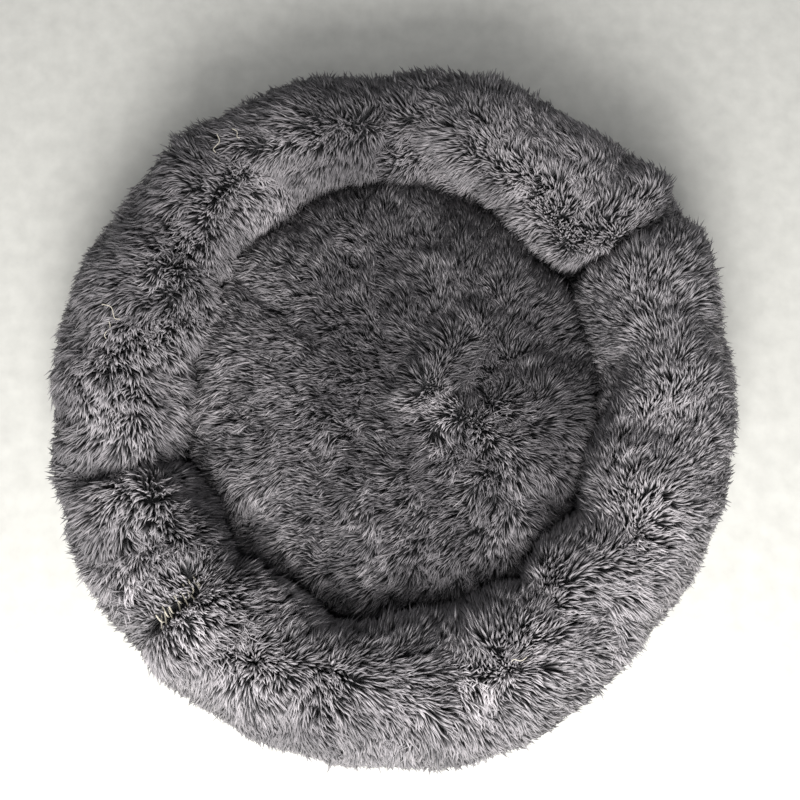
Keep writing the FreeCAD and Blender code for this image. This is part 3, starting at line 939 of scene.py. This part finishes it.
class BED_OT_filling(bpy.types.Operator):
    """Inner bags and fibre filling, inside both backing cloths."""
    bl_idname = "bed.filling"
    bl_label = "Bags and filling"

    def execute(self, context):
        bag = cloth("bag_cloth", (0.80, 0.80, 0.78), (0.72, 0.72, 0.70), 3000.0, 0.1, 0.3)
        fibre = material("fibre_filling", "scuffed_surface",
                         {"Colour": (0.86, 0.86, 0.84), "Scuff": (0.95, 0.95, 0.94), "Grain": 220.0,
                          "Amount": 0.8}, {"Sheen Weight": 0.4}, 0.8, 0.002)
        around, across, steps = 96, 28, 28
        inset = context.scene.bed_ring.inset
        for piece, name, depth, chosen, slot in (
                ("ring_liner_bag", "ring_liner", 0.016, bag, "liner"),
                ("ring_fill_fibre", "ring_fill", 0.020, fibre, "fibre_fill")):
            grid = ring_grid(around, across, inset + depth)
            obj = new_object(piece, grid.reshape(-1, 3), torus_faces(around, across), [chosen])
            finish_piece(obj)
            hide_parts(name)
        inset = context.scene.bed_cushion.inset
        for piece, name, depth, chosen, slot in (
                ("cushion_liner_bag", "cushion_liner", 0.014, bag, "liner"),
                ("cushion_fill_fibre", "cushion_fill", 0.018, fibre, "fibre_fill")):
            verts, faces = cushion_cap(cushion_grid(steps, inset + depth))
            verts[:, 2] = np.maximum(verts[:, 2], ZIP_TOP + depth / 4)
            obj = new_object(piece, verts, faces, [chosen])
            finish_piece(obj)
            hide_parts(name)
        return {"FINISHED"}


def parting(phi, theta, reach):
    """Bell of the distance to the stitched seam, over the stretch of it where the pile has parted."""
    d = RING_RADIUS * wrap(phi - math.radians(FOLDS[STITCHED_FOLD][0]))
    tube = tube_degrees(theta)
    return np.exp(-(d / reach) ** 2) * smooth(62, 72, tube) * (1 - smooth(112, 122, tube))


def ring_comb(grid, phi, theta):
    """Comb of the ring's pile: outwards at the rim, turning to run round the ring over its crown.

    The angle from outwards grows with the angle round the tube, and at the front it goes on to point
    into the nest. The pile turns away from seams and dimples, and a soft noise swings it.
    """
    out = -unit(np.roll(grid, -1, 1) - np.roll(grid, 1, 1))
    around = unit(np.roll(grid, -1, 0) - np.roll(grid, 1, 0))
    tube = tube_degrees(theta)
    front = np.exp(-(wrap(phi - math.radians(268)) / math.radians(42)) ** 2)
    angle = 20 + 50 * smooth(35, 100, tube) + 32 * smooth(100, 150, tube)
    angle += front * (62 * smooth(75, 125, tube) - 6)
    angle = np.radians(angle) + 0.32 * waves(grid, 0.09, 22) + 0.22 * waves(grid, 0.030, 23)
    a, b = np.cos(angle), np.sin(angle)
    for index, (place, _, _, start, end) in enumerate(FOLDS):
        push = 1.8 if index == STITCHED_FOLD else 0.35
        reach = 0.026 if index == STITCHED_FOLD else 0.014
        d = RING_RADIUS * wrap(phi - math.radians(place))
        b += push * np.tanh(d / 0.003) * np.exp(-(d / reach) ** 2) * fold_window(theta, start, end)
    parted = parting(phi, theta, 0.020)
    away = np.sign(wrap(phi - math.radians(FOLDS[STITCHED_FOLD][0])))
    a, b = a * (1 - 0.75 * parted), b + 1.5 * parted * away
    for place, round_tube, depth, _ in DIMPLES:
        ds = RING_RADIUS * wrap(phi - math.radians(place))
        dt = RING_HALF_WIDTH * wrap(theta - math.radians(round_tube))
        size = np.hypot(ds, dt) + 1e-4
        push = 110 * depth * np.exp(-(size / 0.040) ** 2) / size
        b += push * ds
        a -= push * dt
    return out * a[..., None] + around * b[..., None]


def ring_tone_and_painted_light(grid, phi, tube):
    """Painted light and shade of the ring's pile over a soft tone that differs at random: each patch adds a
    bell of the distance to its place.
    """
    tone = 0.05 * waves(grid, 0.12, 24)
    for angle, place, spread, amount in RING_LIGHT_AND_SHADE:
        ds = RING_RADIUS * wrap(phi - math.radians(angle))
        dt = RING_HALF_WIDTH * np.radians(tube - place)
        tone = tone + amount * np.exp(-(np.hypot(ds, dt) / spread) ** 2)
    return tone


class BED_OT_ring_pile(bpy.types.Operator):
    """Long pile of the ring, in eight sectors."""
    bl_idname = "bed.ring_pile"
    bl_label = "Ring pile"

    def execute(self, context):
        s, grid = context.scene.bed_pile, FORMS["ring"]
        around, across = grid.shape[:2]
        phi, theta = ring_angles(around, across)
        flat = np.stack([RING_RADIUS * phi, RING_HALF_WIDTH * theta], -1)
        tube = tube_degrees(theta)
        weight = smooth(-62, -50, tube) * (1 - smooth(215, 228, tube))
        weight = weight * (0.55 + 0.45 * smooth(-35, 0, tube) * (1 - smooth(165, 200, tube)))
        weight = weight * (1 - 0.93 * parting(phi, theta, 0.0035))
        upright = smooth(50, 100, tube) * (1 - smooth(190, 215, tube))
        inside = smooth(100, 135, tube) * (1 - smooth(190, 215, tube))
        lean = np.stack([53 - 29 * upright - 10 * inside, 86 - 20 * upright - 22 * inside], -1)
        deep = smooth(0.006, 0.024, ring_dent(phi, theta))
        size = (1 - 0.25 * smooth(120, 170, tube)) * (1 - 0.45 * deep) * (0.74 + 0.26 * smooth(0, 60, tube))
        # Painted shade: the pile is set darker in the folds and dimples.
        tone = ring_tone_and_painted_light(grid, phi, tube) - 0.30 * deep
        gather = 0.18 + 0.82 * smooth(55, 110, tube)
        parted = parting(phi, theta, 0.016)
        gather = gather * (1 - 0.85 * parted)
        lean = lean + parted[..., None] * [22, 6]
        tone = tone + 0.10 * parted
        pile = Pile(grid, True, flat, ring_comb(grid, phi, theta), weight, lean, size, tone, gather)
        cells = 3 * int(round(TAU * RING_RADIUS / s.clump / 3))
        parts = grow(pile, s.ring_count, s.ring_length, s.width, s.seed, TAU * RING_RADIUS / cells, cells,
                     (0.44, 0.16), 0.72)
        sectors = 8
        angle = np.mod(np.arctan2(parts[0][:, 1], parts[0][:, 0]), TAU)
        for k in range(sectors):
            picked = np.floor(angle / TAU * sectors).astype(int) == k
            verts, faces, uv = tuft_mesh(*[p[picked] for p in parts])
            finish = pile_material("ring_long_pile", s.root_colour, 0.22)
            obj = new_object(f"ring_pile_{k + 1}", verts, faces, [finish], uv=uv)
            finish_piece(obj)
        return {"FINISHED"}


def cushion_comb(x, y):
    """Comb of the cushion's pile over the floor plan.

    It radiates from a whorl right of the middle, leans to the left in front and to the rear on the
    right, and a noise that is strong in the whorl swings it.
    """
    dx, dy = x - WHORL[0], y - WHORL[1]
    size = np.hypot(dx, dy)
    plan = np.stack([dx, dy, 0 * x], -1) / (size[..., None] + 0.012)
    plan[..., 0] -= 0.55 * smooth(0.00, -0.10, y) * (1 - smooth(0.06, 0.12, x))
    plan[..., 1] += 0.45 * smooth(0.0, 0.07, x) * smooth(-0.01, 0.05, y) - 0.35 * smooth(0.0, -0.1, x)
    outward = np.stack([x, y, 0 * x], -1) / CUSHION_RADIUS
    plan = plan + smooth(0.80, 1.05, np.hypot(x, y) / CUSHION_RADIUS)[..., None] * outward
    places = np.stack([x, y, 0 * x], -1)
    curl = np.exp(-(size / 0.038) ** 2)
    swing = (0.28 + 1.0 * curl) * waves(places, 0.05, 31) + (0.15 + 0.6 * curl) * waves(places, 0.018, 32)
    c, s = np.cos(swing), np.sin(swing)
    turned = plan.copy()
    turned[..., 0] = plan[..., 0] * c - plan[..., 1] * s
    turned[..., 1] = plan[..., 0] * s + plan[..., 1] * c
    return turned


def cushion_tone_and_painted_light(x, y):
    """Painted light and shade of the cushion's pile over a soft tone that differs at random, all set darker
    than the ring: each patch adds a bell of the distance to its place.
    """
    tone = 0.03 * waves(np.stack([x, y, 0 * x], -1), 0.10, 33) - 0.23
    for px, py, spread, amount in CUSHION_LIGHT_AND_SHADE:
        tone = tone + amount * np.exp(-((x - px) ** 2 + (y - py) ** 2) / spread ** 2)
    return tone


class BED_OT_cushion_pile(bpy.types.Operator):
    """Pile of the cushion, in four quarters."""
    bl_idname = "bed.cushion_pile"
    bl_label = "Cushion pile"

    def execute(self, context):
        s, grid = context.scene.bed_pile, FORMS["cushion"]
        x, y = grid[..., 0], grid[..., 1]
        normal = normals_of(grid, False)
        comb = cushion_comb(x, y)
        comb[..., 2] -= 1.2 * (1 - normal[..., 2])
        comb -= normal * (comb * normal).sum(-1, keepdims=True)
        flat = np.stack(square(len(grid)), -1) * CUSHION_RADIUS + 1.0
        weight = 0.5 + 0.5 * smooth(0.035, 0.06, grid[..., 2])
        hollow = smooth(0.2, 0.8, cushion_dent(x, y) / context.scene.bed_cushion.valley)
        right = smooth(-0.06, 0.05, x + 0.4 * y)
        lean = np.stack([38 - 10 * right - 12 * hollow, 80 - 22 * right - 12 * hollow], -1)
        size = 1 - 0.12 * hollow + 0.15 * np.exp(-np.hypot(x - WHORL[0], y - WHORL[1]) ** 2 / 0.03 ** 2)
        pile = Pile(grid, False, flat, comb, weight, lean, size, cushion_tone_and_painted_light(x, y), 1 + 0 * x)
        parts = grow(pile, s.cushion_count, s.cushion_length, s.width * 0.74, s.seed + 50,
                     0.85 * s.clump, 3000, (0.80, 0.22), 1.15)
        left, rear = parts[0][:, 0] < 0, parts[0][:, 1] > NEST_SHIFT
        for name, picked in (("rear_left", left & rear), ("rear_right", ~left & rear),
                             ("front_left", left & ~rear), ("front_right", ~left & ~rear)):
            verts, faces, uv = tuft_mesh(*[p[picked] for p in parts])
            finish = pile_material("cushion_long_pile", s.cushion_root_and_shade_colour, 0.35)
            obj = new_object("cushion_pile_" + name, verts, faces, [finish], uv=uv)
            finish_piece(obj)
        return {"FINISHED"}


def pinched(grid, phi, tube):
    """Point of the ring's backing and its normal at an angle round the bed and one round the tube."""
    around, across = grid.shape[:2]
    i = int(round(phi / 360 * around)) % around
    j = int(round(tube / 360 * across)) % across
    along = grid[(i + 1) % around, j] - grid[i - 1, j]
    return grid[i, j], unit(np.cross(along, grid[i, (j + 1) % across] - grid[i, j - 1]))


def thread_path(points, radius, sides=6):
    """Closed thread along smooth points, drawn to a point at each end.

    It has circles of the radius square to its path, which is the points' Catmull-Rom curve:
    p1 + t (p2 - p0) / 2 + t^2 (2 p0 - 5 p1 + 4 p2 - p3) / 2 + t^3 (3 p1 - p0 - 3 p2 + p3) / 2.
    """
    p = np.concatenate([2 * points[:1] - points[1:2], points, 2 * points[-1:] - points[-2:-1]])
    t = np.linspace(0, 1, 6, endpoint=False)[None, :, None]
    a, b, c, d = (p[k:len(p) - 3 + k, None] for k in range(4))
    square_term, cube_term = 2 * a - 5 * b + 4 * c - d, 3 * b - a - 3 * c + d
    path = 0.5 * (2 * b + (c - a) * t + square_term * t ** 2 + cube_term * t ** 3)
    path = np.concatenate([path.reshape(-1, 3), points[-1:]])
    along = unit(np.gradient(path, axis=0))
    side = unit(np.cross(along, [0.05, 0.1, 1.0]))
    up = np.cross(side, along)
    turn = TAU * np.arange(sides) / sides
    ring = side[:, None] * np.cos(turn)[:, None] + up[:, None] * np.sin(turn)[:, None]
    tubes = (path[:, None] + radius * ring).reshape(-1, 3)
    verts = np.concatenate([tubes, path[:1] - along[:1] * radius, path[-1:] + along[-1:] * radius])
    rows = len(path)
    i, j = np.meshgrid(np.arange(rows - 1), np.arange(sides), indexing="ij")
    j2 = (j + 1) % sides
    walls = np.stack([i * sides + j, i * sides + j2, (i + 1) * sides + j2, (i + 1) * sides + j], -1)
    k = np.arange(sides)
    k2 = (k + 1) % sides
    head = np.stack([k2, k, np.full(sides, rows * sides)], -1)
    last = (rows - 1) * sides
    tail = np.stack([last + k, last + k2, np.full(sides, rows * sides + 1)], -1)
    return verts, walls.reshape(-1, 4), np.concatenate([head, tail])


class BED_OT_stitches(bpy.types.Operator):
    """Pale thread that shows in the parted front left seam, and loose fibres on the pile."""
    bl_idname = "bed.stitches"
    bl_label = "Seam stitches"

    def execute(self, context):
        grid = FORMS["ring"]
        rng = np.random.default_rng(context.scene.bed_pile.seed + 90)
        pieces = []
        for k, tube in enumerate(np.linspace(114, 70, 15)):
            phi = FOLDS[STITCHED_FOLD][0] + 0.5 * (-1) ** k
            start, up = pinched(grid, phi - 1.1, tube)
            end = pinched(grid, phi + 1.1, tube - 4)[0]
            bow = (start + end) / 2 + 0.0065 * up + rng.normal(0, 0.0006, 3)
            pieces.append(thread_path(np.stack([start, bow, end]), 0.0007))
        for phi, tube, reach in ((165, 86, 0.020), (167, 92, 0.016), (126, 74, 0.018), (124, 80, 0.012),
                                 (299, 104, 0.012), (226, 96, 0.016)):
            start, up = pinched(grid, phi, tube)
            lie = unit(np.cross(up, rng.normal(0, 1, 3)))
            turn = unit(np.cross(up, lie))
            lift = 0.017 * up
            path = np.stack([start + lift, start + lift + reach * (0.4 * lie + 0.15 * turn),
                             start + lift + reach * (0.8 * lie - 0.1 * turn), start + lift + reach * lie])
            pieces.append(thread_path(path, 0.00035))
        verts, walls, caps, first = [], [], [], 0
        for points, quads, ends in pieces:
            verts.append(points)
            walls.append(quads + first)
            caps.append(ends + first)
            first += len(points)
        thread = cloth("seam_thread", (0.62, 0.57, 0.47), (0.50, 0.46, 0.38), 5200.0, 0.1, 0.3)
        obj = new_object("seam_stitches", np.concatenate(verts),
                         [np.concatenate(walls), np.concatenate(caps)], [thread])
        finish_piece(obj)
        return {"FINISHED"}


class BED_OT_base(bpy.types.Operator):
    """Finishes of the base cloth, its binding and dots, and the zip."""
    bl_idname = "bed.base"
    bl_label = "Base and zip"

    def execute(self, context):
        paint(["base_cloth_front", "base_cloth_rear"],
              cloth("base_weave", (0.040, 0.040, 0.043), (0.028, 0.028, 0.030), 1500.0, 0.5))
        paint(["base_binding"], cloth("binding_tape", (0.030, 0.030, 0.032), (0.018, 0.018, 0.02), 2200.0))
        paint(["grip_dots"], moulded("grip_pvc", (0.022, 0.022, 0.024), (0.10, 0.10, 0.10), 900.0, 0.5))
        paint(["zip_tape_front", "zip_tape_rear"],
              cloth("zip_tape", (0.022, 0.022, 0.024), (0.014, 0.014, 0.015), 3200.0))
        paint(["zip_coil_front", "zip_coil_rear"],
              moulded("zip_nylon", (0.020, 0.020, 0.022), (0.08, 0.08, 0.08), 2500.0, 0.2))
        paint(["zip_stops", "zip_slider", "zip_pull"],
              moulded("zip_metal", (0.09, 0.09, 0.095), (0.45, 0.44, 0.42), 3000.0, 0.5, 0.9))
        return {"FINISHED"}


class BED_OT_stage(bpy.types.Operator):
    """Floor, soft light and the camera, nearly overhead at the front."""
    bl_idname = "bed.stage"
    bl_label = "Stage"

    def execute(self, context):
        s = context.scene.bed_stage
        half = 4.0
        corners = np.array([[-half, -half, 0], [half, -half, 0], [half, half, 0], [-half, half, 0]])
        corners = corners - [0, 0, FLOOR_GAP]
        floor = new_object("floor", corners, np.array([[0, 1, 2, 3]]), [floor_material()], shaded=False)
        target = np.array([0.007, 0.007, 0.06])
        rise = math.radians(s.elevation)
        offset = s.distance * np.array([0, -math.cos(rise), math.sin(rise)])
        lens = bpy.data.cameras.new("camera")
        lens.sensor_width = 36
        lens.lens = 18 / math.tan(math.radians(s.field) / 2)
        camera = bpy.data.objects.new("camera", lens)
        camera.location = target + offset
        camera.rotation_euler = (math.pi / 2 - rise, 0, 0)
        context.scene.collection.objects.link(camera)
        context.scene.camera = camera
        soft_light("key", (-0.03, -1.10, 1.07), 0.7, s.key_power)
        soft_light("top", (0.0, -0.62, 1.60), 0.6, s.top_power)
        soft_light("fill", (1.3, 0.6, 1.6), 1.6, s.fill_power)
        world = bpy.data.worlds.new("studio")
        context.scene.world = world
        world.use_nodes = True
        back = world.node_tree.nodes["Background"]
        back.inputs[0].default_value = (0.93, 0.96, 1.0, 1)
        back.inputs[1].default_value = s.sky
        context.scene.view_settings.view_transform = "Standard"
        return {"FINISHED"}


def soft_light(name, place, size, power):
    """Square area light at place, aimed at the bed."""
    data = bpy.data.lights.new(name, "AREA")
    data.size = size
    data.energy = power
    light = bpy.data.objects.new(name, data)
    light.location = place
    aim = -np.array(place)
    yaw = math.atan2(aim[0], -aim[1])
    pitch = math.atan2(math.hypot(aim[0], aim[1]), -aim[2])
    light.rotation_euler = (pitch, 0, math.pi + yaw)
    bpy.context.scene.collection.objects.link(light)


def floor_material():
    """Finish of the plain pale floor."""
    return material("floor_sheet", "scuffed_surface",
                    {"Colour": (0.57, 0.56, 0.52), "Scuff": (0.525, 0.515, 0.48), "Grain": 60.0,
                     "Amount": 0.3},
                    {"Specular IOR Level": 0.3})


OPERATORS = (BED_OT_ring, BED_OT_cushion, BED_OT_filling, BED_OT_ring_pile, BED_OT_cushion_pile,
             BED_OT_stitches, BED_OT_base, BED_OT_stage)


class BED_PT_panel(bpy.types.Panel):
    """Sidebar panel with the operators and their settings."""
    bl_label = "Pet Bed"
    bl_idname = "BED_PT_panel"
    bl_space_type = "VIEW_3D"
    bl_region_type = "UI"
    bl_category = "Pet Bed"

    def draw(self, context):
        for operator in OPERATORS:
            self.layout.operator(operator.bl_idname)
        for name in SETTINGS:
            box = self.layout.box()
            for key in getattr(context.scene, name).__annotations__:
                box.prop(getattr(context.scene, name), key)


def register():
    """Registers the classes and hangs the settings on the scene."""
    for name, kind in SETTINGS.items():
        bpy.utils.register_class(kind)
        setattr(bpy.types.Scene, name, bpy.props.PointerProperty(type=kind))
    for kind in OPERATORS + (BED_PT_panel,):
        bpy.utils.register_class(kind)


def unregister():
    """Takes back what register does."""
    for kind in reversed(OPERATORS + (BED_PT_panel,)):
        bpy.utils.unregister_class(kind)
    for name, kind in SETTINGS.items():
        delattr(bpy.types.Scene, name)
        bpy.utils.unregister_class(kind)


def main():
    """Builds the bed and its stage by the operators."""
    register()
    for operator in OPERATORS:
        getattr(bpy.ops.bed, operator.bl_idname.split(".")[1])()


if __name__ == "__main__":
    main()
